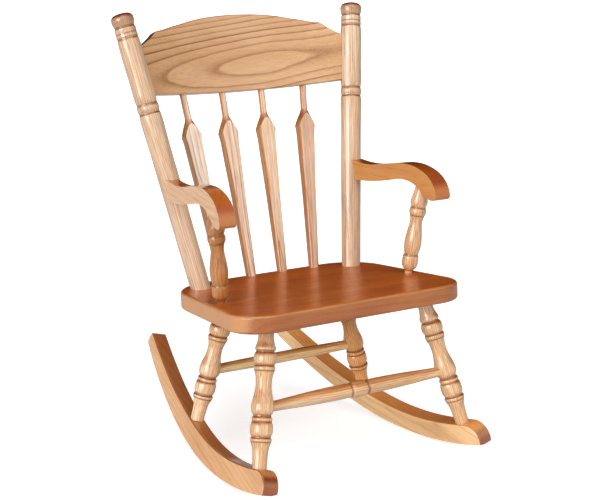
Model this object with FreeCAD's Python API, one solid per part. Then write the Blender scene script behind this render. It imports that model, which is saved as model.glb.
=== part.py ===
import FreeCAD, Part
import math, os

# A child's hardwood rocking chair: plank seat, turned legs and posts, arrow spindles.
# Millimetres. The chair faces -Y, +Z is up, +X is on the sitter's left.
# Pieces are drawn with the rockers touching the floor on the line y = 0, and moved at the end
# so that the origin lies under the middle of the chair.

V = FreeCAD.Vector
os.makedirs("parts", exist_ok=True)

# Fits shared by all joints
joint_clearance = 0.15
overrun = 60.0
edge_ease = 2.0

# Seat: one thick board, wider at the front, tilted back
seat_height = 272.3
seat_tilt_deg = 4.1
seat_thickness = 28.0
seat_front_reach = 126.0
seat_back_reach = 171.0
seat_front_half_width = 211.0
seat_back_half_width = 182.0
seat_front_corner_radius = 54.0
seat_back_corner_radius = 78.0
seat_edge_radius = 5.0
seat_socket_depth = 19.0

# Legs: where they enter the seat and how they lean
front_leg_side_inset = 61.5
front_leg_front_inset = 47.0
front_leg_splay_deg = 12.68
front_leg_rake_deg = 14.6
rear_leg_side_inset = 78.0
rear_leg_back_inset = 64.5
rear_leg_splay_deg = 15.68
rear_leg_rake_deg = 2.35
leg_belly_radius = 17.2
foot_tenon_radius = 8.0
foot_tenon_depth = 17.0
foot_recess_depth = 1.5

# Rockers
rocker_thickness = 26.0
rocker_floor_width = 10.0
rocker_front_radius = 600.0
rocker_rear_radius = 525.0
rocker_tail_radius = 800.0
rocker_height = 36.0
rocker_front_reach = 184.0
rocker_bend_reach = 150.0
rocker_rear_reach = 375.0
rocker_nose_rounding = 26.0
rocker_tail_rounding = 5.0

# Stretchers
stretcher_middle_radius = 11.4
stretcher_end_radius = 7.8
stretcher_socket_depth = 13.0

# Back: posts, crest rail and spindles
post_side_inset = 41.0
post_back_inset = 45.0
back_lean_deg = 15.0
post_splay_deg = 9.29
post_length = 453.0
post_radius = 17.8
post_tenon_radius = 10.0
crest_bottom_share = 0.693
crest_ear_height = 105.0
crest_bottom_rise = 2.8
crest_middle_height = 128.0
crest_thickness = 20.0
crest_sag = 29.4
crest_setback = 7.7
crest_end_inset = 8.0
spindle_foot_sag = 26.5
spindle_foot_setback = 12.0
spindle_wide_radius = 17.3
spindle_flat_thickness = 17.0
spindle_top_radius = 5.7
spindle_foot_radius = 8.6
spindle_socket_depth = 14.0

# Arms
arm_height = 421.3
arm_length = 211.0
arm_rise = 51.0
arm_rear_outer = 14.0
arm_rear_inner = 6.0
arm_nose_width = 28.6
arm_edge_radius = 2.5
arm_dowel_radius = 5.0
arm_dowel_length = 44.0
arm_post_side_inset = 22.6
arm_post_behind_front = 128.5
arm_post_splay_deg = 6.14
arm_post_rake_deg = 4.36
arm_post_radius = 14.1
arm_post_tenon_radius = 6.0
arm_post_tenon_depth = 14.0
arm_post_foot_radius = 6.2


# Helpers
def direction(run_x, run_y, run_z):
    vector = V(run_x, run_y, run_z)
    vector.normalize()
    return vector


def cylinder(radius, start, toward, near, far):
    """A round bar on the ray from start, between two distances along it."""
    return Part.makeCylinder(radius, far - near, start + toward * near, toward)


def spun(groups, start, toward):
    """Turn a profile about its axis; each group of (distance, radius) is one smooth curve."""
    edges = []
    first = groups[0][0]
    last = groups[-1][-1]
    edges.append(Part.makeLine(V(0, 0, first[0]), V(first[1], 0, first[0])))
    previous = None
    for group in groups:
        points = [V(radius, 0, distance) for distance, radius in group]
        if previous is not None and (points[0] - previous).Length > Part.Precision.confusion():
            edges.append(Part.makeLine(previous, points[0]))
        if len(points) == 2:
            edges.append(Part.makeLine(points[0], points[1]))
        else:
            curve = Part.BSplineCurve()
            curve.interpolate(points)
            edges.append(curve.toShape())
        previous = points[-1]
    if last[1] > 0:
        edges.append(Part.makeLine(previous, V(0, 0, last[0])))
    edges.append(Part.makeLine(V(0, 0, last[0]), V(0, 0, first[0])))
    face = Part.Face(Part.Wire(edges))
    solid = face.revolve(V(0, 0, 0), V(0, 0, 1), 360)
    if solid.Volume < 0:
        solid.reverse()
    solid.Placement = FreeCAD.Placement(start, FreeCAD.Rotation(V(0, 0, 1), toward))
    return solid


def scaled(shares, length, radius):
    """Profile shares of (length, radius) made into millimetres."""
    return [[(along * length, out * radius) for along, out in group] for group in shares]


def mirrored(shape):
    return shape.mirror(V(0, 0, 0), V(1, 0, 0))


def one_solid(shape):
    """The largest solid of a cut or joined shape."""
    solids = sorted(shape.Solids, key=lambda item: item.Volume)
    return solids[-1]


def eased(shape, edges, radius):
    """Round edges over, or leave the shape as it is where they can't be rounded."""
    try:
        result = shape.makeFillet(radius, edges)
        if result.isValid() and len(result.Solids) == 1:
            return result.Solids[0]
    except Exception:
        pass
    return shape


# Seat board
tilt = FreeCAD.Rotation(V(1, 0, 0), -seat_tilt_deg)
seat_place = FreeCAD.Placement(V(0, 0, seat_height), tilt)
seat_up = tilt.multVec(V(0, 0, 1))
seat_along = tilt.multVec(V(0, 1, 0))


def seat_point(x, y, below=0.0):
    """A point of the tilted seat from its flat coordinates."""
    return seat_place.multVec(V(x, y, -below))


def seat_half_width(y):
    """Half the board's width at a distance behind the origin."""
    share = (y + seat_front_reach) / (seat_front_reach + seat_back_reach)
    return seat_front_half_width + (seat_back_half_width - seat_front_half_width) * share


def seat_meets(start, toward, below):
    """Where a ray crosses the plane that lies the given depth under the seat's top."""
    on_plane = seat_point(0, 0, below)
    return start + toward * ((on_plane - start).dot(seat_up) / toward.dot(seat_up))


def seat_board():
    corners = [V(-seat_front_half_width, -seat_front_reach, -seat_thickness),
               V(seat_front_half_width, -seat_front_reach, -seat_thickness),
               V(seat_back_half_width, seat_back_reach, -seat_thickness),
               V(-seat_back_half_width, seat_back_reach, -seat_thickness)]
    board = Part.Face(Part.makePolygon(corners + corners[:1])).extrude(V(0, 0, seat_thickness))
    upright = [e for e in board.Edges if abs(e.tangentAt(e.FirstParameter).z) > 0.5]
    front = [e for e in upright if e.CenterOfMass.y < 0]
    board = board.makeFillet(seat_front_corner_radius, front)
    upright = [e for e in board.Edges if abs(e.tangentAt(e.FirstParameter).z) > 0.5
               and e.CenterOfMass.y > seat_back_reach - seat_edge_radius]
    board = board.makeFillet(seat_back_corner_radius, upright)
    level = [e for e in board.Edges if e.BoundBox.ZLength < joint_clearance]
    board = board.makeFillet(seat_edge_radius, level)
    board.Placement = seat_place
    return board


seat_under_block = Part.makeBox(4 * seat_front_half_width, 4 * seat_front_half_width, overrun,
                                V(-2 * seat_front_half_width, -2 * seat_front_half_width, -overrun))
seat_under_block.Placement = seat_place
seat = seat_board()

# Legs: one turning pattern, drawn as shares of the leg's length and of its belly radius
leg_shares = [
    [(0.000, 0.680), (0.050, 0.690), (0.095, 0.735), (0.125, 0.830), (0.152, 0.915), (0.160, 0.900)],
    [(0.160, 0.900), (0.166, 0.820), (0.174, 0.800)],
    [(0.174, 0.800), (0.186, 0.920), (0.205, 0.995), (0.222, 1.010), (0.242, 0.985), (0.262, 0.880)],
    [(0.262, 0.880), (0.270, 0.840)],
    [(0.270, 0.840), (0.280, 0.925), (0.290, 0.945), (0.300, 0.920)],
    [(0.300, 0.920), (0.323, 0.830), (0.350, 0.745), (0.394, 0.700), (0.437, 0.730), (0.487, 0.850),
     (0.530, 0.960), (0.560, 1.000), (0.587, 0.975), (0.608, 0.880), (0.617, 0.790)],
    [(0.617, 0.790), (0.627, 0.780)],
    [(0.627, 0.780), (0.637, 0.885), (0.648, 0.915), (0.658, 0.880)],
    [(0.658, 0.880), (0.665, 0.860)],
    [(0.665, 0.860), (0.676, 0.935), (0.694, 0.985), (0.714, 0.995), (0.738, 0.985), (0.758, 0.920)],
    [(0.758, 0.920), (0.768, 0.850), (0.776, 0.845)],
    [(0.776, 0.845), (0.783, 0.925), (0.792, 0.950), (0.802, 0.920)],
    [(0.802, 0.920), (0.822, 0.840), (0.850, 0.735), (0.885, 0.680), (0.936, 0.650), (1.000, 0.620)],
]
leg_top_share = leg_shares[0][0][1]
foot_height_share = 1.4
stretcher_place_share = 0.572


def lean(splay_deg, rake_deg):
    """Upward direction of a right-hand piece that splays out downward and rakes forward."""
    return direction(-math.tan(math.radians(splay_deg)), math.tan(math.radians(rake_deg)), 1)


front_leg_up = lean(front_leg_splay_deg, front_leg_rake_deg)
rear_leg_up = lean(rear_leg_splay_deg, -rear_leg_rake_deg)
front_leg_y = front_leg_front_inset - seat_front_reach
rear_leg_y = seat_back_reach - rear_leg_back_inset
front_leg_top = seat_point(seat_half_width(front_leg_y) - front_leg_side_inset, front_leg_y, seat_thickness)
rear_leg_top = seat_point(seat_half_width(rear_leg_y) - rear_leg_side_inset, rear_leg_y, seat_thickness)


def at_height(start, toward, height):
    return start + toward * ((height - start.z) / toward.z)


# Rocker: a bent-looking sawn board in the leaning plane that holds both right-hand feet
foot_height = foot_height_share * rocker_height
front_foot_mark = at_height(front_leg_top, front_leg_up, foot_height)
rear_foot_mark = at_height(rear_leg_top, rear_leg_up, foot_height)
rocker_back = direction(rear_foot_mark.x - front_foot_mark.x, rear_foot_mark.y - front_foot_mark.y, 0)
leg_mean_up = direction(*(front_leg_up + rear_leg_up))
rocker_out = rocker_back.cross(leg_mean_up)
rocker_out.normalize()
rocker_up = rocker_out.cross(rocker_back)
floor_line = rocker_thickness / 2 - rocker_floor_width
touch_floor = front_foot_mark - rocker_up * (foot_height / rocker_up.z)
rocker_origin = touch_floor - rocker_back * (touch_floor.y / rocker_back.y)
rocker_origin = rocker_origin + V(0, 0, floor_line * rocker_out.z)
rocker_place = FreeCAD.Placement(
    rocker_origin, FreeCAD.Rotation(rocker_back, rocker_up, rocker_back.cross(rocker_up), "XYZ"))

# Depth of the board square to its lower edge: share of the reach, share of the height
rocker_front_depth_shares = [(0.0, 1.000), (0.33, 1.005), (0.66, 1.025), (1.0, 1.060)]
rocker_rear_depth_shares = [(0.14, 1.010), (0.29, 1.020), (0.45, 0.980), (0.60, 0.920), (0.75, 0.860),
                            (0.88, 0.780), (1.0, 0.680)]


def rocker_edge_point(along, depth):
    """A point the given depth above the lower edge, measured square to it."""
    bend = rocker_bend_reach / rocker_rear_radius
    radius = rocker_front_radius if along < 0 else rocker_rear_radius
    angle = along / radius
    centre = V(0, radius, 0)
    if along > rocker_bend_reach:
        radius = rocker_tail_radius
        angle = bend + (along - rocker_bend_reach) / radius
        shift = rocker_rear_radius - radius
        centre = centre + V(shift * math.sin(bend), -shift * math.cos(bend), 0)
    return centre + V(math.sin(angle), -math.cos(angle), 0) * (radius - depth)


def planed_off():
    """The wedge planed off the inner lower edge, so that the rocker bears on a level flat.

    It is cut straight along the chair's sideways direction, so the flat stays level as it rocks.
    """
    nose, nose_mid, base, bend_mid, bend, tail_mid, tail = [
        rocker_edge_point(along, 0) for along in
        (-rocker_front_reach - overrun, -rocker_front_reach / 2, 0, rocker_bend_reach / 2,
         rocker_bend_reach, (rocker_bend_reach + rocker_rear_reach) / 2, rocker_rear_reach + overrun)]
    edges = [Part.Arc(nose, nose_mid, base).toShape(), Part.Arc(base, bend_mid, bend).toShape(),
             Part.Arc(bend, tail_mid, tail).toShape(), Part.makeLine(tail, V(tail.x, -overrun, 0)),
             Part.makeLine(V(tail.x, -overrun, 0), V(nose.x, -overrun, 0)),
             Part.makeLine(V(nose.x, -overrun, 0), nose)]
    sideways = V(rocker_back.x, rocker_up.x, rocker_out.x)
    wedge = Part.Face(Part.Wire(edges)).extrude(sideways * (2 * rocker_thickness))
    wedge.translate(V(0, 0, -floor_line) - sideways * rocker_thickness)
    return wedge


def rocker_board():
    front = [rocker_edge_point(-rocker_front_reach * s, d * rocker_height)
             for s, d in reversed(rocker_front_depth_shares)]
    rear = [rocker_edge_point(rocker_rear_reach * s, d * rocker_height)
            for s, d in rocker_rear_depth_shares]
    nose_low = rocker_edge_point(-rocker_front_reach, 0)
    nose_mid = rocker_edge_point(-rocker_front_reach / 2, 0)
    bend_mid = rocker_edge_point(rocker_bend_reach / 2, 0)
    bend_low = rocker_edge_point(rocker_bend_reach, 0)
    tail_mid = rocker_edge_point((rocker_bend_reach + rocker_rear_reach) / 2, 0)
    tail_low = rocker_edge_point(rocker_rear_reach, 0)
    nose_high = V(nose_low.x, front[0].y, 0)
    top_points = [nose_high] + front[1:] + rear
    top = Part.BSplineCurve()
    top.interpolate(top_points)
    base = V(0, 0, 0)
    edges = [top.toShape(), Part.makeLine(top_points[-1], tail_low),
             Part.Arc(tail_low, tail_mid, bend_low).toShape(),
             Part.Arc(bend_low, bend_mid, base).toShape(),
             Part.Arc(base, nose_mid, nose_low).toShape(),
             Part.makeLine(nose_low, nose_high)]
    face = Part.Face(Part.Wire(edges))
    board = face.extrude(V(0, 0, rocker_thickness))
    board.translate(V(0, 0, -rocker_thickness / 2))

    def square_edge(point):
        return [e for e in board.Edges if e.BoundBox.XLength < joint_clearance
                and e.BoundBox.YLength < joint_clearance
                and abs(e.CenterOfMass.x - point.x) < joint_clearance
                and abs(e.CenterOfMass.y - point.y) < joint_clearance]
    board = board.makeFillet(rocker_nose_rounding, square_edge(nose_high))
    board = board.makeFillet(rocker_tail_rounding, square_edge(top_points[-1]) + square_edge(tail_low))
    flat = [e for e in board.Edges if e.BoundBox.ZLength < joint_clearance
            and e.CenterOfMass.y > edge_ease]
    board = one_solid(eased(board, flat, edge_ease).cut(planed_off()))
    board.Placement = rocker_place
    return board


rocker = rocker_board()


def entry(start, toward, solid):
    """The first point where a ray enters a solid."""
    line = Part.makeLine(start, start + toward * (2 * seat_height))
    hits = line.common(solid).Vertexes
    return min((vertex.Point for vertex in hits), key=lambda point: (point - start).Length)


def leg(top, up):
    """One turned leg with its seat end and foot tenon, and the cutters for its sockets."""
    down = up * -1
    length = (entry(top, down, rocker) - top).Length + foot_recess_depth
    top_radius = leg_top_share * leg_belly_radius
    foot_radius = leg_shares[-1][-1][1] * leg_belly_radius
    body = spun(scaled(leg_shares, length, leg_belly_radius), top, down)
    body = body.fuse(cylinder(top_radius, top, down, -seat_socket_depth, 0))
    body = body.fuse(cylinder(foot_tenon_radius, top, down, length, length + foot_tenon_depth))
    seat_cut = cylinder(top_radius + joint_clearance, top, down, -seat_socket_depth, top_radius)
    foot_cut = cylinder(foot_radius + joint_clearance, top, down, length - foot_radius, length).fuse(
        cylinder(foot_tenon_radius + joint_clearance, top, down, length - foot_radius,
                 length + foot_tenon_depth))
    middle = top + down * (length * stretcher_place_share)
    return one_solid(body.removeSplitter()), seat_cut, foot_cut, middle


front_leg, front_seat_cut, front_foot_cut, front_middle = leg(front_leg_top, front_leg_up)
rear_leg, rear_seat_cut, rear_foot_cut, rear_middle = leg(rear_leg_top, rear_leg_up)
rocker = one_solid(rocker.cut(front_foot_cut.fuse(rear_foot_cut)))

# Stretchers: turned rails between the bellies of the legs
front_stretcher_shares = [
    [(0.000, 0.690), (0.180, 0.740), (0.400, 0.880), (0.600, 0.975), (0.800, 1.010), (0.895, 1.000)],
    [(0.895, 1.000), (0.903, 0.860), (0.911, 0.860)],
    [(0.911, 0.860), (0.925, 1.030), (0.960, 1.110), (1.040, 1.110), (1.075, 1.030), (1.089, 0.860)],
    [(1.089, 0.860), (1.097, 0.860), (1.105, 1.000)],
    [(1.105, 1.000), (1.200, 1.010), (1.400, 0.975), (1.600, 0.880), (1.820, 0.740), (2.000, 0.690)],
]
rear_stretcher_shares = [
    [(0.000, 0.690), (0.250, 0.730), (0.600, 0.800), (1.000, 0.830), (1.400, 0.800), (1.750, 0.730),
     (2.000, 0.690)],
]


def stretcher(shares, middle):
    """A rail centred on x = 0 at the height where it enters the legs, and its socket cutter."""
    half = middle.x - (leg_belly_radius - stretcher_socket_depth)
    start = V(-half, middle.y, middle.z)
    body = spun(scaled(shares, half, stretcher_middle_radius), start, V(1, 0, 0))
    hole = stretcher_end_radius + joint_clearance
    cut = cylinder(hole, V(half, middle.y, middle.z), V(1, 0, 0), -2 * leg_belly_radius, 0)
    return body, cut


front_stretcher, front_rail_cut = stretcher(front_stretcher_shares, front_middle)
rear_stretcher, rear_rail_cut = stretcher(rear_stretcher_shares, rear_middle)
front_leg = one_solid(front_leg.cut(front_rail_cut))
rear_leg = one_solid(rear_leg.cut(rear_rail_cut))

# Back frame: x stays sideways, back_up runs up the lean, back_out points to the rear
back_lean = math.radians(back_lean_deg)
back_up = V(0, math.sin(back_lean), math.cos(back_lean))
back_out = V(0, math.cos(back_lean), -math.sin(back_lean))
post_y = seat_back_reach - post_back_inset
post_base = seat_point(seat_half_width(post_y) - post_side_inset, post_y)
back_origin = V(0, post_base.y, post_base.z)
post_up = direction(*(V(math.tan(math.radians(post_splay_deg)), 0, 0) + back_up))
crest_bottom_height = post_length * crest_bottom_share


def back_point(side, up, out):
    return back_origin + V(side, 0, 0) + back_up * up + back_out * out


def post_side(up):
    """Distance of a post's axis from the middle plane, at a distance up the back."""
    return post_base.x + up * math.tan(math.radians(post_splay_deg))


post_shares = [
    [(0.000, 0.905), (0.200, 0.930), (0.400, 0.965), (0.560, 0.995), (0.629, 1.000), (0.637, 0.985)],
    [(0.637, 0.985), (0.6415, 0.935), (0.646, 0.940)],
    [(0.646, 0.940), (0.652, 0.990), (0.6595, 1.010), (0.667, 0.990), (0.670, 0.960)],
    [(0.670, 0.960), (0.674, 0.935), (0.678, 0.945)],
    [(0.678, 0.945), (0.688, 0.990), (0.713, 1.005), (0.804, 1.010), (0.889, 1.010), (0.905, 0.990)],
    [(0.905, 0.990), (0.9105, 0.945), (0.915, 0.940)],
    [(0.915, 0.940), (0.918, 0.985), (0.923, 0.970), (0.931, 0.955), (0.941, 0.975), (0.947, 0.965)],
    [(0.947, 0.965), (0.953, 0.895), (0.957, 0.930), (0.966, 1.005), (0.9755, 1.030), (0.985, 1.000),
     (0.993, 0.860), (0.998, 0.580), (0.9996, 0.280), (1.000, 0.000)],
]
post_base_share = post_shares[0][0][1]


def post():
    """One turned back post, cut to the seat's slope, with its tenon."""
    base_radius = post_base_share * post_radius
    body = spun(scaled(post_shares, post_length, post_radius), post_base, post_up)
    body = body.fuse(cylinder(base_radius, post_base, post_up, -base_radius, 0))
    body = body.cut(seat_under_block)
    body = body.fuse(cylinder(post_tenon_radius, post_base, post_up, -seat_socket_depth, base_radius))
    cut = cylinder(post_tenon_radius + joint_clearance, post_base, post_up,
                   -seat_socket_depth, post_tenon_radius)
    return one_solid(body.removeSplitter()), cut


right_post, post_seat_cut = post()

# Crest rail: a shaped board bent to an arc, its ends let into the posts
crest_half_chord = post_side(crest_bottom_height)
crest_bend_radius = (crest_half_chord ** 2 + crest_sag ** 2) / (2 * crest_sag)
crest_bend_centre = back_point(0, 0, crest_setback + crest_sag - crest_bend_radius)
# Upper edge from the middle outward: share of the half chord, share of the extra middle height
crest_hump_shares = [(0.0, 1.0), (0.15, 0.965), (0.25, 0.90), (0.35, 0.79), (0.45, 0.63),
                     (0.55, 0.43), (0.65, 0.24), (0.72, 0.08), (0.776, 0.0)]
# From the ear down to the post: share of the half chord, share of the ear height
crest_shoulder_shares = [(0.776, 1.0), (0.802, 0.975), (0.848, 0.905), (0.895, 0.845), (0.95, 0.785),
                         (1.02, 0.740), (1.10, 0.710)]


def crest_outline(grow):
    """Half outlines of the board as points sideways and up the back."""
    extra = crest_middle_height - crest_ear_height
    hump = [(s * crest_half_chord, crest_bottom_height + crest_ear_height + extra * h + grow)
            for s, h in crest_hump_shares]
    shoulder = [(s * crest_half_chord, crest_bottom_height + crest_ear_height * h + grow)
                for s, h in crest_shoulder_shares]
    return hump, shoulder


def crest(grow=0.0):
    hump, shoulder = crest_outline(grow)
    depth = crest_bend_radius
    low = crest_bottom_height - grow
    far_side = shoulder[-1][0]
    rise = crest_bottom_rise * (far_side / crest_half_chord) ** 2

    def curve(points):
        spline = Part.BSplineCurve()
        spline.interpolate([back_point(side, up, -depth / 2) for side, up in points])
        return spline.toShape()
    full_hump = [(-side, up) for side, up in reversed(hump[1:])] + hump
    left_shoulder = [(-side, up) for side, up in shoulder]
    far_up = shoulder[-1][1]
    corners = [back_point(side, up, -depth / 2) for side, up in
               ((far_side, far_up), (far_side, low + rise), (0, low), (-far_side, low + rise),
                (-far_side, far_up))]
    edges = [curve(full_hump), curve(shoulder), Part.makeLine(corners[0], corners[1]),
             Part.Arc(corners[1], corners[2], corners[3]).toShape(),
             Part.makeLine(corners[3], corners[4]), curve(left_shoulder)]
    outline = Part.Face(Part.Wire(Part.__sortEdges__(edges))).extrude(back_out * depth)
    tall = crest_bottom_height + crest_middle_height + overrun
    outer = Part.makeCylinder(crest_bend_radius + crest_thickness / 2 + grow, tall,
                              crest_bend_centre, back_up)
    inner = Part.makeCylinder(crest_bend_radius - crest_thickness / 2 - grow, tall,
                              crest_bend_centre, back_up)
    board = outline.common(outer.cut(inner))
    board = one_solid(board)
    side_run = math.tan(math.radians(post_splay_deg))
    for sign in (1, -1):
        end = [back_point(sign * (post_side(up) - crest_end_inset), up, out)
               for up, out in ((0, -depth), (tall, -depth), (tall, depth), (0, depth))]
        slab = Part.Face(Part.makePolygon(end + end[:1])).extrude(V(sign * 2 * overrun, 0, 0))
        board = one_solid(board.cut(slab))
    return board


crest_rail = crest()
right_post = one_solid(right_post.cut(crest(joint_clearance)))
rim = [e for e in crest_rail.Edges
       if abs((e.CenterOfMass - back_origin).x) < crest_half_chord * crest_shoulder_shares[3][0]
       and e.BoundBox.XLength > crest_thickness]
crest_rail = eased(crest_rail, rim, edge_ease)

# Spindles: turned, then flattened front and back into an arrow shape
spindle_seat_shares = (0.208, 0.606)
spindle_crest_shares = (0.191, 0.584)
spindle_shares = [
    [(0.000, 0.500), (0.250, 0.605), (0.500, 0.735), (0.690, 0.865), (0.760, 0.940), (0.780, 1.000)],
    [(0.780, 1.000), (0.795, 0.910), (0.818, 0.740), (0.838, 0.570), (0.856, 0.420), (0.872, 0.330)],
    [(0.872, 0.330), (1.000, 0.330)],
]


def arc_out(side, half_chord, sag):
    """How far behind the posts' plane an arc through them lies."""
    radius = (half_chord ** 2 + sag ** 2) / (2 * sag)
    return math.sqrt(radius ** 2 - side ** 2) - (radius - sag)


def spindle(seat_share, crest_share):
    foot_x = post_base.x * seat_share
    foot_out = spindle_foot_setback + arc_out(foot_x, post_base.x, spindle_foot_sag)
    foot = seat_point(foot_x, post_y + foot_out)
    head_x = crest_half_chord * crest_share
    head_out = crest_setback + arc_out(head_x, crest_half_chord, crest_sag)
    head = back_point(head_x, crest_bottom_height, head_out)
    toward = direction(*(head - foot))
    length = (head - foot).Length
    groups = scaled(spindle_shares, length, spindle_wide_radius)
    groups[0][0] = (0.0, spindle_foot_radius)
    groups[1][-1] = (groups[1][-1][0], spindle_top_radius)
    groups[2] = [(groups[2][0][0], spindle_top_radius), (length, spindle_top_radius)]
    body = spun(groups, foot, toward)
    across = V(1, 0, 0) - toward * toward.x
    across.normalize()
    out = toward.cross(across) * -1
    slab = Part.makeBox(2 * spindle_wide_radius, spindle_flat_thickness, length,
                        V(-spindle_wide_radius, -spindle_flat_thickness / 2, 0))
    slab.Placement = FreeCAD.Placement(foot, FreeCAD.Rotation(across, out, toward, "ZXY"))
    body = body.common(slab)
    body = body.fuse(cylinder(spindle_foot_radius, foot, toward, -spindle_socket_depth, 0))
    body = body.fuse(cylinder(spindle_top_radius, foot, toward, length, length + spindle_socket_depth))
    seat_cut = cylinder(spindle_foot_radius + joint_clearance, foot, toward,
                        -spindle_socket_depth, spindle_foot_radius)
    crest_cut = cylinder(spindle_top_radius + joint_clearance, foot, toward,
                         length - spindle_top_radius, length + spindle_socket_depth)
    return one_solid(body.removeSplitter()), seat_cut, crest_cut


inner_spindle, inner_seat_cut, inner_crest_cut = spindle(spindle_seat_shares[0], spindle_crest_shares[0])
outer_spindle, outer_seat_cut, outer_crest_cut = spindle(spindle_seat_shares[1], spindle_crest_shares[1])
for cutter in (inner_crest_cut, outer_crest_cut):
    crest_rail = one_solid(crest_rail.cut(cutter).cut(mirrored(cutter)))

# Arms: a sawn S shape, narrower at the rear, coped to the post and rolled over at the nose
arm_top_shares = [(0.000, 0.731), (0.118, 0.700), (0.227, 0.722), (0.355, 0.810), (0.474, 0.908),
                  (0.578, 0.978), (0.668, 0.998), (0.735, 0.980), (0.791, 0.933), (0.848, 0.859),
                  (0.900, 0.755), (0.943, 0.614), (0.976, 0.437), (0.994, 0.270), (1.000, 0.150)]
arm_nose_shares = [(1.000, 0.150), (0.992, 0.060), (0.972, 0.010), (0.943, 0.000)]
arm_bottom_shares = [(0.943, 0.000), (0.915, 0.010), (0.882, 0.055), (0.829, 0.190), (0.782, 0.315),
                     (0.725, 0.420), (0.649, 0.468), (0.578, 0.462), (0.479, 0.375), (0.384, 0.285),
                     (0.261, 0.190), (0.128, 0.122), (0.000, 0.085)]
arm_post_y = arm_post_behind_front - seat_front_reach
arm_post_base = seat_point(seat_half_width(arm_post_y) - arm_post_side_inset, arm_post_y)
arm_post_up = direction(math.tan(math.radians(arm_post_splay_deg)),
                        -math.tan(math.radians(arm_post_rake_deg)), 1)
arm_joint = at_height(post_base, post_up, arm_height)
arm_base = arm_height - arm_rise * 2 / 5
arm_rear_y = arm_joint.y - post_base_share * post_radius
arm_over_post = at_height(arm_post_base, arm_post_up, arm_height)


def arm():
    """The right arm, before its sockets are cut."""
    def place(share, height):
        return V(0, arm_rear_y - share * arm_length, arm_base + height * arm_rise)

    def curve(shares):
        spline = Part.BSplineCurve()
        spline.interpolate([place(s, h) for s, h in shares])
        return spline.toShape()
    rear_top = place(*arm_top_shares[0])
    rear_low = place(*arm_bottom_shares[-1])
    back = V(0, arm_joint.y + post_radius, 0)
    stub = [rear_low, V(0, back.y, rear_low.z), V(0, back.y, rear_top.z), rear_top]
    edges = [curve(arm_top_shares), curve(arm_nose_shares), curve(arm_bottom_shares)]
    edges += [Part.makeLine(a, b) for a, b in zip(stub, stub[1:])]
    wide = 2 * seat_front_half_width
    profile = Part.Face(Part.Wire(Part.__sortEdges__(edges))).extrude(V(wide, 0, 0))
    middle_rear = (arm_rear_outer - arm_rear_inner) / 2
    slope = (arm_over_post.x - arm_joint.x - middle_rear) / (arm_rear_y - arm_over_post.y)
    nose_x = arm_joint.x + middle_rear + slope * arm_length
    nose_y = arm_rear_y - arm_length
    plan = [V(arm_joint.x - arm_rear_inner, arm_rear_y, 0), V(arm_joint.x - arm_rear_inner, back.y, 0),
            V(arm_joint.x + arm_rear_outer, back.y, 0), V(arm_joint.x + arm_rear_outer, arm_rear_y, 0),
            V(nose_x + arm_nose_width / 2, nose_y, 0), V(nose_x + arm_nose_width / 2, nose_y - overrun, 0),
            V(nose_x - arm_nose_width / 2, nose_y - overrun, 0), V(nose_x - arm_nose_width / 2, nose_y, 0)]
    prism = Part.Face(Part.makePolygon(plan + plan[:1])).extrude(V(0, 0, 2 * arm_height))
    body = one_solid(profile.common(prism))
    long_edges = [e for e in body.Edges if e.CenterOfMass.y < arm_rear_y
                  and e.BoundBox.YLength + e.BoundBox.ZLength > arm_edge_radius * 2
                  and e.BoundBox.XLength < arm_nose_width - arm_edge_radius]
    body = eased(body, long_edges, arm_edge_radius)
    around = spun(scaled([[(-0.1, post_base_share)] + post_shares[0]], post_length,
                         post_radius + joint_clearance), post_base, post_up)
    keep = Part.makeBox(wide, arm_length + arm_joint.y, 2 * arm_height,
                        V(0, arm_joint.y - arm_length - arm_joint.y, 0))
    return one_solid(body.cut(around).common(keep))


right_arm = arm()

# Arm posts: turned, tenoned into the seat and up into the arm
arm_post_shares = [
    [(0.000, 0.440), (0.029, 0.500), (0.056, 0.680), (0.080, 0.850), (0.105, 0.925), (0.146, 0.945),
     (0.184, 0.925), (0.200, 0.890)],
    [(0.200, 0.890), (0.214, 0.815), (0.226, 0.820)],
    [(0.226, 0.820), (0.249, 0.885), (0.284, 0.955), (0.325, 0.995), (0.355, 1.000), (0.400, 0.970),
     (0.442, 0.915), (0.483, 0.855), (0.532, 0.780), (0.587, 0.725), (0.628, 0.770), (0.655, 0.840),
     (0.666, 0.870)],
    [(0.666, 0.870), (0.676, 0.940), (0.702, 0.990), (0.731, 0.950), (0.745, 0.880)],
    [(0.745, 0.880), (0.757, 0.850), (0.765, 0.870)],
    [(0.765, 0.870), (0.7815, 0.940), (0.807, 0.990), (0.830, 0.975), (0.869, 0.880), (0.910, 0.795),
     (0.938, 0.740), (1.000, 0.680)],
]


def arm_post():
    """The right arm post, cut to the seat's slope and to the arm's underside."""
    reach = (entry(arm_post_base, arm_post_up, right_arm) - arm_post_base).Length
    groups = scaled(arm_post_shares, reach, arm_post_radius)
    groups[0][0] = (0.0, arm_post_foot_radius)
    end_radius = arm_post_shares[-1][-1][1] * arm_post_radius
    body = spun(groups, arm_post_base, arm_post_up)
    body = body.fuse(cylinder(end_radius, arm_post_base, arm_post_up, reach, reach + end_radius))
    above = right_arm.copy()
    above.translate(arm_post_up * -joint_clearance)
    body = one_solid(body.cut(above))
    body = body.fuse(cylinder(arm_post_foot_radius, arm_post_base, arm_post_up, -seat_socket_depth, 0))
    tip = reach + arm_post_tenon_depth
    body = body.fuse(cylinder(arm_post_tenon_radius, arm_post_base, arm_post_up, reach - end_radius, tip))
    seat_cut = cylinder(arm_post_foot_radius + joint_clearance, arm_post_base, arm_post_up,
                        -seat_socket_depth, arm_post_foot_radius)
    arm_cut = cylinder(arm_post_tenon_radius + joint_clearance, arm_post_base, arm_post_up,
                       reach - 2 * end_radius, tip)
    return one_solid(body.removeSplitter()), seat_cut, arm_cut


right_arm_post, arm_post_seat_cut, arm_post_arm_cut = arm_post()
right_arm = one_solid(right_arm.cut(arm_post_arm_cut))

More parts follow.
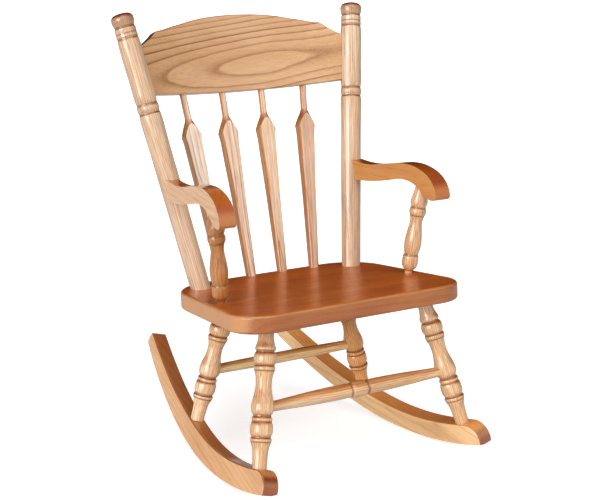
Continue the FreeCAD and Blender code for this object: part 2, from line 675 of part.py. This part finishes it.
# Arm dowels: one across each coped joint between post and arm
dowel_toward = V(0, -1, 0)
dowel_start = V(arm_joint.x + (arm_rear_outer - arm_rear_inner) / 2, arm_joint.y, arm_height)
dowel_near = -arm_dowel_length * 1 / 4
dowel_far = arm_dowel_length * 3 / 4
right_arm_dowel = cylinder(arm_dowel_radius, dowel_start, dowel_toward, dowel_near, dowel_far)
dowel_cut = cylinder(arm_dowel_radius + joint_clearance, dowel_start, dowel_toward, dowel_near, dowel_far)
right_arm = one_solid(right_arm.cut(dowel_cut))
right_post = one_solid(right_post.cut(dowel_cut))

# Sockets in the seat, right and left
for cutter in (front_seat_cut, rear_seat_cut, post_seat_cut, inner_seat_cut, outer_seat_cut,
               arm_post_seat_cut):
    seat = one_solid(seat.cut(cutter).cut(mirrored(cutter)))

pairs = {
    "leg_front": front_leg, "leg_rear": rear_leg, "rocker": rocker, "back_post": right_post,
    "spindle_inner": inner_spindle, "spindle_outer": outer_spindle, "arm": right_arm,
    "arm_post": right_arm_post, "arm_dowel": right_arm_dowel,
}
nodes = {"seat": seat, "crest_rail": crest_rail, "stretcher_front": front_stretcher,
         "stretcher_rear": rear_stretcher}
for name, shape in pairs.items():
    nodes[name + "_right"] = shape
    nodes[name + "_left"] = mirrored(shape)

# The origin lies on the floor, under the middle of the whole chair
reach = rocker.optimalBoundingBox(False)
to_origin = V(0, -(reach.YMin + reach.YMax) / 2, -reach.ZMin)
for name, shape in nodes.items():
    shape.translate(to_origin)
    shape.exportStep("parts/" + name + ".step")
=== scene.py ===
import math
import bpy
from mathutils import Matrix, Vector

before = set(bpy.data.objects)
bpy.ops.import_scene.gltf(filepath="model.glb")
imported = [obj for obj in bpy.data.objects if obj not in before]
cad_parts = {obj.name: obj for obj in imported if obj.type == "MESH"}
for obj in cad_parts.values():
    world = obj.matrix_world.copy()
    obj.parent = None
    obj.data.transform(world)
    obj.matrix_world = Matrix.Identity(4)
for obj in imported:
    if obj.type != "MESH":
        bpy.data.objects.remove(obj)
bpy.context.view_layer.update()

# Seat
# The seat is one thick oak plank, its edge rounded over and its corners sawn round. It is
# stained a honey brown and varnished to a gloss, and it carries every leg, post and spindle.


def linear(colour):
    """An sRGB hex colour as linear red, green, blue and alpha."""
    shares = [int(colour[i:i + 2], 16) / 255 for i in (0, 2, 4)]
    return [s / 12.92 if s <= 0.04045 else ((s + 0.055) / 1.055) ** 2.4 for s in shares] + [1.0]


def add(onto, kind, feeds=None, **settings):
    """Add one node with its settings, and feed its inputs values, outputs or whole nodes.

    A node that is fed in gives the first of its outputs that is in use.
    """
    node = onto.node_tree.nodes.new("ShaderNode" + kind)
    for name, value in settings.items():
        setattr(node, name, value)
    for socket, value in (feeds or {}).items():
        if isinstance(value, bpy.types.Node):
            value = next(output for output in value.outputs if output.enabled)
        if isinstance(value, bpy.types.NodeSocket):
            onto.node_tree.links.new(value, node.inputs[socket])
        else:
            node.inputs[socket].default_value = value
    return node


def grain_turn(along, across):
    """The turn that brings Z onto a piece's grain, and X as near as it can to a given side."""
    z = Vector(along).normalized()
    x = (Vector(across) - z * z.dot(Vector(across))).normalized()
    return Matrix((x, z.cross(x), z)).transposed().to_euler("XYZ")


def grain_frame(wood, start, along, across):
    """Object coordinates in millimetres with Z up the grain, from a point of the piece."""
    place = add(wood, "TexCoord")
    millimetre = 0.001
    point = add(wood, "Mapping", {"Vector": place.outputs["Object"], "Location": start,
                                  "Rotation": grain_turn(along, across),
                                  "Scale": (millimetre, millimetre, millimetre)}, vector_type="TEXTURE")
    return point, place.outputs["Normal"]


def drawn_out(wood, point, wide, long, detail=2.0, shift=0.0):
    """Noise whose blotches are so many millimetres wide and, up the grain, so many long."""
    spread = add(wood, "VectorMath", {0: point, 1: (1 / wide, 1 / wide, 1 / long)}, operation="MULTIPLY")
    moved = add(wood, "VectorMath", {0: spread, 1: (shift, shift * 0.7, shift * 1.3)}, operation="ADD")
    return add(wood, "TexNoise", {"Vector": moved, "Scale": 1.0, "Detail": detail, "Roughness": 0.5})


def ring_count(wood, point, pith, ring, shift, lean=0.02, wander_by=14.0):
    """Growth rings crossed so far: the distance from a slanting pith line over one ring's width.

    The line stands at pith, in mm across the grain, and slants by lean. The rings swell and
    narrow by a slow noise, up to half of wander_by millimetres each way.
    """
    parts = add(wood, "SeparateXYZ", {0: point})
    side = add(wood, "Math", {0: parts.outputs[0], 1: pith[0]}, operation="SUBTRACT")
    side = add(wood, "Math", {0: parts.outputs[2], 1: lean, 2: side}, operation="MULTIPLY_ADD")
    away = add(wood, "Math", {0: parts.outputs[1], 1: pith[1]}, operation="SUBTRACT")
    square = add(wood, "Math", {0: away, 1: away}, operation="MULTIPLY")
    square = add(wood, "Math", {0: side, 1: side, 2: square}, operation="MULTIPLY_ADD")
    distance = add(wood, "Math", {0: square}, operation="SQRT")
    wander = drawn_out(wood, point, wide=60, long=240, shift=shift)
    wander = add(wood, "Math", {0: wander, 1: 0.5}, operation="SUBTRACT")
    distance = add(wood, "Math", {0: wander, 1: wander_by, 2: distance}, operation="MULTIPLY_ADD")
    return add(wood, "Math", {0: distance, 1: ring}, operation="DIVIDE")


def varnished_oak(name, start, along, across=(0.85, -0.52, 0), shift=0.0, pith=(64, 8), ring=3.1,
                  rings=None, contrast=0.7, pale="EFCBA4", deep="DDA975", line="A0682F",
                  pore_depth=0.65, streaks=0.26, dark_bands=(), length=100.0, ends="A8683A", end_from=0.3,
                  side="FFFFFF", slope=None, top="C9966A", flat=None, coat=1.0, coat_rough=0.15):
    """Plain-sawn red oak, stained, under clear gloss varnish.

    The eye sees brown lines of open pores where each year's growth begins, fine dark dashes
    along the grain, slow drifts of tone, end grain stained in another colour, and a hard bright
    gloss over it all. On the seat the end grain is painted pale, painted light. Rings are 3 to 9
    mm wide and pores 1.3 mm, coarser than the real ones, because finer ones would not show at
    this distance.

    start is a point of the piece in metres, along its grain and across a side of it. The wood
    drifts between pale and deep, and shift moves all its patterns. Each darker band round a
    turned piece is a share of its length, in mm, then half the band's width in mm and its
    strength: stained where the piece is grooved, and painted shade on the right rear leg's head
    and partly on the finials. The colour is then multiplied by painted light by how far a face
    looks up, from side over slope to top: painted shade on level tops, on slopes and on the
    seat's sides, and a painted highlight on the slopes of the seat's rounded edge. On a
    flattened piece, whose flat looks towards flat, the turned rest is darker, painted shade.
    """
    wood = bpy.data.materials.new(name)
    wood.use_nodes = True
    wood.node_tree.nodes.clear()
    point, facing = grain_frame(wood, start, along, across)
    # Noise lies mostly between these two, which are stretched to the whole range.
    low, high = 0.3, 0.7

    # The rings: darkest just after the year's growth begins, and stronger in some years.
    count = rings(wood, point) if rings else ring_count(wood, point, pith, ring, shift)
    phase = add(wood, "Math", {0: count}, operation="FRACT")
    spring = add(wood, "ValToRGB", {"Fac": phase})
    stops = spring.color_ramp.elements
    stops[0].color = stops[1].color = (0.0, 0.0, 0.0, 1.0)
    for ring_share, dark in ((0.05, 0.85), (0.1, 1.0), (0.19, 0.5), (0.34, 0.14), (0.65, 0.04)):
        stops.new(ring_share).color = (dark, dark, dark, 1.0)
    number = add(wood, "Math", {0: count}, operation="FLOOR")
    number = add(wood, "Math", {0: number, 1: shift}, operation="ADD")
    year = add(wood, "TexWhiteNoise", {"W": number}, noise_dimensions="1D")
    swing = 0.6 * contrast
    year = add(wood, "Math", {0: year, 1: swing, 2: contrast - swing}, operation="MULTIPLY_ADD")
    lines = add(wood, "Math", {0: spring, 1: year}, operation="MULTIPLY")

    # The colour along the grain: slow drifts, streaks, ring lines, then pores close to the lines.
    drift = drawn_out(wood, point, wide=34, long=150, detail=3.0, shift=shift + 3.1)
    drift = add(wood, "MapRange", {0: drift, 1: low, 2: high}, interpolation_type="SMOOTHSTEP")
    colour = add(wood, "Mix", {0: drift, 6: linear(pale), 7: linear(deep)}, data_type="RGBA")
    streak = drawn_out(wood, point, wide=2.4, long=80, shift=shift + 7.7)
    streak = add(wood, "MapRange", {0: streak, 1: low, 2: high, 3: 1.0 - streaks, 4: 1.0 + streaks * 0.6})
    colour = add(wood, "Mix", {0: 1.0, 6: colour, 7: streak}, data_type="RGBA", blend_type="MULTIPLY")
    colour = add(wood, "Mix", {0: lines, 6: colour, 7: linear(line)}, data_type="RGBA")
    pores = drawn_out(wood, point, wide=1.3, long=24, detail=1.0, shift=shift + 1.9)
    pore_rim, pore_heart = 0.54, 0.66
    pores = add(wood, "MapRange", {0: pores, 1: pore_rim, 2: pore_heart}, interpolation_type="SMOOTHSTEP")
    in_lines = 0.8
    crowded = add(wood, "Math", {0: spring, 1: in_lines, 2: 1.0 - in_lines}, operation="MULTIPLY_ADD")
    pores = add(wood, "Math", {0: pores, 1: crowded}, operation="MULTIPLY")
    pore_share = add(wood, "Math", {0: pores, 1: pore_depth}, operation="MULTIPLY")
    colour = add(wood, "Mix", {0: pore_share, 6: colour, 7: linear("7A4A22")}, data_type="RGBA")

    # Darker bands round a turned piece, band by band with soft rims: stain gathered in its grooves,
    # and painted shade on the right rear leg's head and partly on the finial.
    stain_and_shade = 0.0
    darkest_band = 0.82
    for length_share, half, strength in dark_bands:
        height = add(wood, "SeparateXYZ", {0: point}).outputs[2]
        far = add(wood, "Math", {0: height, 1: length_share * length}, operation="SUBTRACT")
        far = add(wood, "Math", {0: far}, operation="ABSOLUTE")
        band = add(wood, "MapRange", {0: far, 1: half * 0.4, 2: half * 1.6, 3: strength * darkest_band,
                                      4: 0.0}, interpolation_type="SMOOTHSTEP")
        stain_and_shade = add(wood, "Math", {0: stain_and_shade, 1: band}, operation="MAXIMUM")
    if dark_bands:
        colour = add(wood, "Mix", {0: stain_and_shade, 6: colour, 7: linear("8E5A14")}, data_type="RGBA")

    # The end grain, where the surface looks along the grain.
    end_full, end_most = 0.95, 0.9
    endways = add(wood, "VectorMath", {0: facing, 1: Vector(along).normalized()}, operation="DOT_PRODUCT")
    endways = add(wood, "Math", {0: endways}, operation="ABSOLUTE")
    endways = add(wood, "MapRange", {0: endways, 1: end_from, 2: end_full, 3: 0.0, 4: end_most},
                  interpolation_type="SMOOTHSTEP")
    colour = add(wood, "Mix", {0: endways, 6: colour, 7: linear(ends)}, data_type="RGBA")

    # Painted light by how far the surface looks up, from the sides over the slopes to level tops:
    # painted shade on tops and slopes, and on the seat painted shade on its sides and a painted
    # highlight on its rounded edge.
    slope_from, slope_full, level_from, level_full = 0.35, 0.7, 0.72, 0.97
    upward = add(wood, "SeparateXYZ", {0: facing}).outputs[2]
    sloping = add(wood, "MapRange", {0: upward, 1: slope_from, 2: slope_full},
                  interpolation_type="SMOOTHSTEP")
    painted_light = add(wood, "Mix", {0: sloping, 6: linear(side), 7: linear(slope or top)}, data_type="RGBA")
    level = add(wood, "MapRange", {0: upward, 1: level_from, 2: level_full},
                interpolation_type="SMOOTHSTEP")
    painted_light = add(wood, "Mix", {0: level, 6: painted_light, 7: linear(top)}, data_type="RGBA")
    colour = add(wood, "Mix", {0: 1.0, 6: colour, 7: painted_light}, data_type="RGBA", blend_type="MULTIPLY")
    # Painted shade: on a flattened spindle the turned sides are darker than the flats.
    if flat:
        round_below, flat_above = 0.8, 0.97
        turned = add(wood, "VectorMath", {0: facing, 1: Vector(flat).normalized()}, operation="DOT_PRODUCT")
        turned = add(wood, "Math", {0: turned}, operation="ABSOLUTE")
        turned = add(wood, "MapRange", {0: turned, 1: round_below, 2: flat_above, 3: 1.0, 4: 0.0},
                     interpolation_type="SMOOTHSTEP")
        colour = add(wood, "Mix", {0: turned, 6: colour, 7: linear("DCB47E")}, data_type="RGBA",
                     blend_type="MULTIPLY")

    # The varnish: it sinks a little into lines and pores, and the wood under it is unevenly smooth.
    dent_depth = 0.0004
    smoothest, roughest = 0.36, 0.5
    dents = add(wood, "Math", {0: lines, 1: 0.4, 2: pores}, operation="MULTIPLY_ADD")
    height = add(wood, "Math", {0: 1.0, 1: dents}, operation="SUBTRACT")
    bump = add(wood, "Bump", {"Strength": 0.12, "Distance": dent_depth, "Height": height})
    rough = drawn_out(wood, point, wide=25, long=60, shift=shift + 5.0)
    rough = add(wood, "MapRange", {0: rough, 1: low, 2: high, 3: smoothest, 4: roughest},
                interpolation_type="SMOOTHSTEP")
    gloss = add(wood, "BsdfPrincipled", {
        "Base Color": colour, "Roughness": rough, "IOR": 1.5, "Normal": bump, "Coat Weight": coat,
        "Coat Roughness": coat_rough, "Coat IOR": 1.5})
    add(wood, "OutputMaterial", {"Surface": gloss})
    return wood


def finish_with(node, wood):
    """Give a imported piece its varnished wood."""
    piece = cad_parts[node]
    if not piece.material_slots:
        piece.data.materials.append(wood)
    for slot in piece.material_slots:
        slot.material = wood


seat_tilt = math.radians(4.1)
seat_top_point = (0.05, -0.083, 0.2723)
seat_backwards = (0, math.cos(seat_tilt), -math.sin(seat_tilt))
# On the seat the sides are painted darker and the level top deeper and more orange, painted shade; the
# slopes of its rounded edge are painted paler, a painted highlight; and its end grain is painted pale,
# painted light.
finish_with("seat", varnished_oak(
    "seat_plank_oak", seat_top_point, along=(1, 0, 0), across=seat_backwards,
    shift=2.0, pith=(-30, 85), ring=9.0, contrast=0.28, pale="CE9360", deep="C07F50", line="8A5831",
    pore_depth=0.35, streaks=0.12, ends="F6CDA2", end_from=0.62, side="D8B896", slope="E7EFEF",
    top="FFB843", coat=0.6, coat_rough=0.22))

# Legs
# Four legs turned from straight-grained oak squares, with bellies, beads and grooves. They are
# glued into blind holes in the seat and stand with a round tenon in each rocker.

leg_grooves = ((0.168, 1.6, 1.0), (0.267, 1.4, 1.0), (0.306, 1.2, 1.0), (0.622, 1.6, 1.0),
               (0.662, 1.3, 1.0), (0.772, 1.6, 1.0), (0.806, 1.2, 1.0))
# The right rear leg is darker towards its head, under the seat: painted shade.
shaded_head = (0.0, 90.0, 0.85)
# For the right side the head's middle and the way down, in metres, then the length in mm, a seed,
# and each side's pale and deep wood.
legs = {"leg_front": ((0.1449, -0.1634, 0.2500), (0.2127, -0.2463, -0.9456), 211.3, 4.0,
                      (("right", "E9C096", "D9A673"), ("left", "ECC59C", "DFAF80"))),
        # The right rear leg's wood is painted paler and more orange than the left's, painted light where it
        # stands in shade.
        "leg_rear": ((0.1103, 0.0216, 0.2368), (0.2701, 0.0395, -0.9620), 196.3, 9.0,
                     (("right", "FFB870", "EE9C50"), ("left", "FFD5AB", "EDB783")))}


def mirrored(place, sign):
    """A point or a direction of the right side, or for a sign of -1 its image on the left."""
    return place[0] * sign, place[1], place[2]


for leg, (head, down, length, seed, woods) in legs.items():
    for sign, (side, pale, deep) in zip((1, -1), woods):
        stains_and_shade = leg_grooves
        if (leg, side) == ("leg_rear", "right"):
            stains_and_shade += (shaded_head,)
        finish_with(leg + "_" + side, varnished_oak(
            "turned_oak_" + leg + "_" + side, mirrored(head, sign), mirrored(down, sign),
            shift=seed + sign, pale=pale, deep=deep, dark_bands=stains_and_shade, length=length))

# Stretchers
# Two turned rails stop the legs from spreading. The front one swells to a bead in its middle,
# the rear one is plain, and both are pushed into blind holes bored in the legs.

bead_grooves = ((0.4535, 1.2, 1.0), (0.5465, 1.2, 1.0))
front_left_end = (-0.1706, -0.1932, 0.1358)
rear_left_end = (-0.1406, 0.0260, 0.1287)
# The rails' top tint is painted shade on their upper faces, and the rear rail is painted paler than the
# front one, painted light where it stands in shade under the seat.
finish_with("stretcher_front", varnished_oak(
    "turned_oak_stretcher_front", front_left_end, along=(1, 0, 0), across=(0, 0, 1),
    shift=14.0, pale="ECC598", deep="DAA672", dark_bands=bead_grooves, length=341.2, top="E4BE98"))
finish_with("stretcher_rear", varnished_oak(
    "turned_oak_stretcher_rear", rear_left_end, along=(1, 0, 0), across=(0, 0, 1),
    shift=19.0, pale="FFE2A4", deep="FFD08E", top="E4BE98"))

# Rockers
# Each rocker is sawn to its curve from thick flat stock, so the grain runs straight from end to
# end and crosses the curve. It leans with the legs, and its nose is rounded over by hand.

# The stock lies along the chord of the curve and leans outwards with the legs.
rocker_low_point = (0.1872, -0.0826, 0.0007)
rocker_chord = (-0.152, 0.971, 0.185)
rocker_outwards = (1, 0.1, 0.233)
# For each side its pale and deep wood, and the painted shade of its slopes and its level top.
# The right rocker's wood is painted paler, painted light on its inner face, which the lamps
# light less.
rocker_woods = (("right", 1, "FFD39A", "F4C084", "C8A783", "EDBF91"),
                ("left", -1, "EEB47A", "E1A064", "9B6235", "E5C3A8"))
for side, sign, pale, deep, slope, top in rocker_woods:
    finish_with("rocker_" + side, varnished_oak(
        "sawn_oak_rocker_" + side, mirrored(rocker_low_point, sign), mirrored(rocker_chord, sign),
        across=mirrored(rocker_outwards, sign), shift=23.0 + sign, pith=(70, -46), ring=7.5,
        contrast=0.4, pale=pale, deep=deep, line="A8703E", pore_depth=0.3, streaks=0.1, ends="843814",
        slope=slope, top=top))

# Back posts
# Two tall turned posts lean back and spread upward. Each has a button finial and sets of grooves,
# stands in a hole in the seat, and is slotted to take an end of the crest rail.

post_foot = (0.1454, 0.0431, 0.2633)
post_upwards = (0.1614, 0.2554, 0.9533)
# The finial's dome is darker, from the band at the finial and from the end-grain colour that begins at
# end_from 0.02: partly its end grain, partly painted shade on the upward-facing dome.
dark_finial = (0.982, 9.0, 0.7)
post_bands = ((0.6405, 1.7, 1.0), (0.674, 1.6, 1.0), (0.9105, 1.6, 1.0), (0.929, 1.0, 1.0),
                (0.9525, 1.8, 1.0), dark_finial)
for side, sign in (("right", 1), ("left", -1)):
    finish_with("back_post_" + side, varnished_oak(
        "turned_oak_back_post_" + side, mirrored(post_foot, sign), mirrored(post_upwards, sign),
        shift=31.0 + 3 * sign, pale="E2C3A6", deep="D5AD88", dark_bands=post_bands, length=453.0,
        ends="874716", end_from=0.02))

# Crest rail
# The top rail is a shaped board steam-bent to a shallow curve. It is plain-sawn, so the rings
# come out of its face as long nested loops of brown lines.

back_lean = math.radians(15)
board_upwards = (0, math.sin(back_lean), math.cos(back_lean))
board_middle = (0.0, 0.1243, 0.5665)
# Where the loops start, along and up the board in mm from its middle, and how they climb.
loop_side = 51.0
loop_height = 44.5
loop_climb = 0.078
# The pith's depth under the face, and how it dips away: left by a power, right by a hump.
pith_depth = 40.0
left_dip = 0.0889
left_power = 1.764
right_dip = 324.0
right_reach = 60.0
# The first ring's distance from the pith, one ring's width and how far the rings wander, in mm.
first_ring = 43.0
crest_ring = 7.9
crest_wander = 1.6


def nested_loops(wood, point):
    """Rings counted over the board's face.

    The pith lies a fixed depth under the face, and dips away to the left by a power of the
    distance and to the right by a hump that levels off, so each ring comes out as a loop that
    is closed at its left end. The count is the distance to the pith less the first ring's,
    over one ring's width, with a slow wander along the board.
    """
    parts = add(wood, "SeparateXYZ", {0: point})
    from_loop = add(wood, "Math", {0: parts.outputs[2], 1: loop_side}, operation="SUBTRACT")
    middle = add(wood, "Math", {0: from_loop, 1: loop_climb, 2: loop_height}, operation="MULTIPLY_ADD")
    rise = add(wood, "Math", {0: parts.outputs[0], 1: middle}, operation="SUBTRACT")
    left = add(wood, "Math", {0: from_loop, 1: 0.0}, operation="MINIMUM")
    left = add(wood, "Math", {0: left}, operation="ABSOLUTE")
    left = add(wood, "Math", {0: left, 1: left_power}, operation="POWER")
    right = add(wood, "Math", {0: from_loop, 1: 0.0}, operation="MAXIMUM")
    right = add(wood, "Math", {0: right, 1: right}, operation="MULTIPLY")
    right = add(wood, "Math", {0: right, 1: -1 / right_reach ** 2}, operation="MULTIPLY")
    hump = add(wood, "Math", {0: right}, operation="EXPONENT")
    deep = add(wood, "Math", {0: hump, 1: -right_dip, 2: right_dip + pith_depth ** 2},
               operation="MULTIPLY_ADD")
    deep = add(wood, "Math", {0: left, 1: left_dip, 2: deep}, operation="MULTIPLY_ADD")
    square = add(wood, "Math", {0: rise, 1: rise, 2: deep}, operation="MULTIPLY_ADD")
    away = add(wood, "Math", {0: square}, operation="SQRT")
    away = add(wood, "Math", {0: away, 1: first_ring}, operation="SUBTRACT")
    wander = drawn_out(wood, point, wide=20, long=70, detail=3.0, shift=6.0)
    wander = add(wood, "Math", {0: wander, 1: 0.5}, operation="SUBTRACT")
    away = add(wood, "Math", {0: wander, 1: crest_wander, 2: away}, operation="MULTIPLY_ADD")
    return add(wood, "Math", {0: away, 1: crest_ring}, operation="DIVIDE")


# The top tint is painted shade on the rail's upper edge.
finish_with("crest_rail", varnished_oak(
    "plain_sawn_oak_crest_rail", board_middle, along=(1, 0, 0), across=board_upwards,
    shift=40.0, rings=nested_loops, contrast=1.15, pale="D6A87B", deep="CC9C6B", line="8C541E",
    pore_depth=0.4, streaks=0.08, ends="C07838", top="D8A070"))

# Spindles
# Four arrow spindles are turned, then flattened front and back above the middle. Their thin
# necks enter the crest rail and their feet stand in a shallow curve across the seat.

board_forwards = (0, -math.cos(back_lean), math.sin(back_lean))
# For the right side the foot and the way up, in metres, then a seed, and each side's pale and
# deep wood. The spindles are painted paler towards the left, a painted sheen.
spindles = {"spindle_inner": ((0.0302, 0.0803, 0.2606), (0.0239, 0.2567, 0.9662), 46.0,
                              (("right", "F0D0B0", "E6BE9A"), ("left", "F8DCC4", "EECAAC"))),
            "spindle_outer": ((0.0881, 0.0720, 0.2612), (0.0865, 0.2540, 0.9633), 52.0,
                              (("right", "E0BA9C", "D6AA8A"), ("left", "FFEAD8", "F8DEC8")))}
for spindle, (foot, up, seed, woods) in spindles.items():
    for sign, (side, pale, deep) in zip((1, -1), woods):
        finish_with(spindle + "_" + side, varnished_oak(
            "turned_oak_" + spindle + "_" + side, mirrored(foot, sign), mirrored(up, sign),
            across=(1, 0.2, 0), shift=seed + 2 * sign, pith=(12 * sign, 34), ring=4.6, pale=pale,
            deep=deep, flat=board_forwards))

# Arms
# Each arm is band-sawn from thick stock in a flowing S and rounded over its scrolled nose. The
# rear is hollowed to fit the back post, with a dowel through the joint.

arm_rear = (0.1762, 0.0693, 0.4009)
arm_forwards = (0.0975, -0.9952, 0.0)
dowel_end = (0.1762, 0.0854, 0.4213)
# The top tints are painted shade on the arms' level tops.
for side, sign, pale, deep, top in (("right", 1, "D59247", "C8833A", "C88E58"),
                                    ("left", -1, "EDBE8E", "E2AC7A", "D8984D")):
    finish_with("arm_" + side, varnished_oak(
        "sawn_oak_arm_" + side, mirrored(arm_rear, sign), mirrored(arm_forwards, sign),
        across=(sign, 0, 0), shift=60.0 + sign, pith=(-52, 30), ring=6.0, contrast=0.3, pale=pale,
        deep=deep, line="A56A38", pore_depth=0.4, streaks=0.1, ends="B4682E", top=top))
    finish_with("arm_dowel_" + side, varnished_oak(
        "dowel_oak_" + side, mirrored(dowel_end, sign), (0, -1, 0), shift=66.0 + sign))

# Arm posts
# A short turned post carries each arm near its front, tenoned up into the arm and down into
# the seat. The wood is more heavily streaked than in the legs, and the left post is redder.

arm_post_foot = (0.1759, -0.0801, 0.2721)
arm_post_upwards = (0.1067, -0.0756, 0.9914)
arm_post_grooves = ((0.04, 1.4, 1.0), (0.214, 1.5, 1.0), (0.662, 1.2, 1.0), (0.753, 1.5, 1.0))
for side, sign, pale, deep in (("right", 1, "EAC096", "DAA674"), ("left", -1, "C48448", "94501C")):
    finish_with("arm_post_" + side, varnished_oak(
        "turned_oak_arm_post_" + side, mirrored(arm_post_foot, sign), mirrored(arm_post_upwards, sign),
        shift=72.0 + 4 * sign, pale=pale, deep=deep, streaks=0.35, dark_bands=arm_post_grooves,
        length=148.4, ends=deep))

# Studio
# A wide white paper floor under three soft lamps: a strong one low on the camera's left, a weaker
# one on its right that leaves no reflection in the varnish, and one high in front.

floor_half = 20.0
floor_drop = 0.0002
floor_mesh = bpy.data.meshes.new("studio_floor")
floor_mesh.from_pydata([(x * floor_half, y * floor_half, -floor_drop)
                        for x, y in ((-1, -1), (1, -1), (1, 1), (-1, 1))], [], [(0, 1, 2, 3)])
floor = bpy.data.objects.new("studio_floor", floor_mesh)
bpy.context.scene.collection.objects.link(floor)

# Matt background paper takes a faint shadow under the chair, and shows plain white further out.
shadow_radius = 1.0
white_radius = 4.0
shadow_white = 0.68
paper = bpy.data.materials.new("white_background_paper")
paper.use_nodes = True
paper.node_tree.nodes.clear()
seen = add(paper, "LightPath").outputs["Is Camera Ray"]
far_out = add(paper, "VectorMath", {0: add(paper, "TexCoord").outputs["Object"]}, operation="LENGTH")
strength = add(paper, "MapRange", {0: far_out, 1: shadow_radius, 2: white_radius, 3: shadow_white, 4: 1.0},
               interpolation_type="SMOOTHSTEP")
strength = add(paper, "Math", {0: seen, 1: strength}, operation="MULTIPLY")
matt = add(paper, "BsdfDiffuse", {"Color": linear("E0E0E0")})
white = add(paper, "Emission", {"Color": linear("FFFFFF"), "Strength": strength})
both = add(paper, "AddShader", {0: matt, 1: white})
add(paper, "OutputMaterial", {"Surface": both})
floor_mesh.materials.append(paper)

# The way to each lamp, its power, its width in degrees, and whether the varnish mirrors it.
lamps = (("lamp_left", (-0.94, -0.28, 0.20), 2.5, 38, True),
         ("lamp_right", (0.42, -0.86, 0.28), 1.0, 46, False),
         ("lamp_above", (-0.10, -0.45, 0.90), 1.3, 60, True))
for lamp_name, way, power, width, in_varnish in lamps:
    light = bpy.data.lights.new(lamp_name, "SUN")
    light.energy = power
    light.angle = math.radians(width)
    lamp = bpy.data.objects.new(lamp_name, light)
    lamp.rotation_euler = Vector(way).to_track_quat("Z", "Y").to_euler()
    lamp.visible_glossy = in_varnish
    bpy.context.scene.collection.objects.link(lamp)

# The room is lit in front of the chair and dim behind it, and the camera sees it as plain white.
room_front = (-0.5, -0.85, 0.1)
dim_from, dim_glow = -0.1, 0.012
bright_from, bright_glow = 0.7, 0.4
world = bpy.data.worlds.new("studio_room")
bpy.context.scene.world = world
world.use_nodes = True
world.node_tree.nodes.clear()
seen = add(world, "LightPath").outputs["Is Camera Ray"]
toward = add(world, "TexCoord").outputs["Generated"]
frontness = add(world, "VectorMath", {0: toward, 1: room_front}, operation="DOT_PRODUCT")
glow = add(world, "MapRange", {0: frontness, 1: dim_from, 2: bright_from, 3: dim_glow, 4: bright_glow},
           interpolation_type="SMOOTHSTEP")
room = add(world, "Background", {"Color": linear("FFFFFF"), "Strength": glow})
plain_white = add(world, "Background", {"Color": linear("FFFFFF"), "Strength": 1.0})
shown = add(world, "MixShader", {0: seen, 1: room, 2: plain_white})
add(world, "OutputWorld", {"Surface": shown})

# The camera stands in front on the left, and looks a little down on the seat.
view = bpy.data.cameras.new("studio_camera")
view.lens = 89.06
view.sensor_width = 36.0
camera = bpy.data.objects.new("studio_camera", view)
camera.location = (-1.2300, -1.99324, 0.8807)
camera.rotation_euler = (math.radians(76.459), 0.0, math.radians(-32.0))
bpy.context.scene.collection.objects.link(camera)
bpy.context.scene.camera = camera
bpy.context.scene.view_settings.view_transform = "Standard"
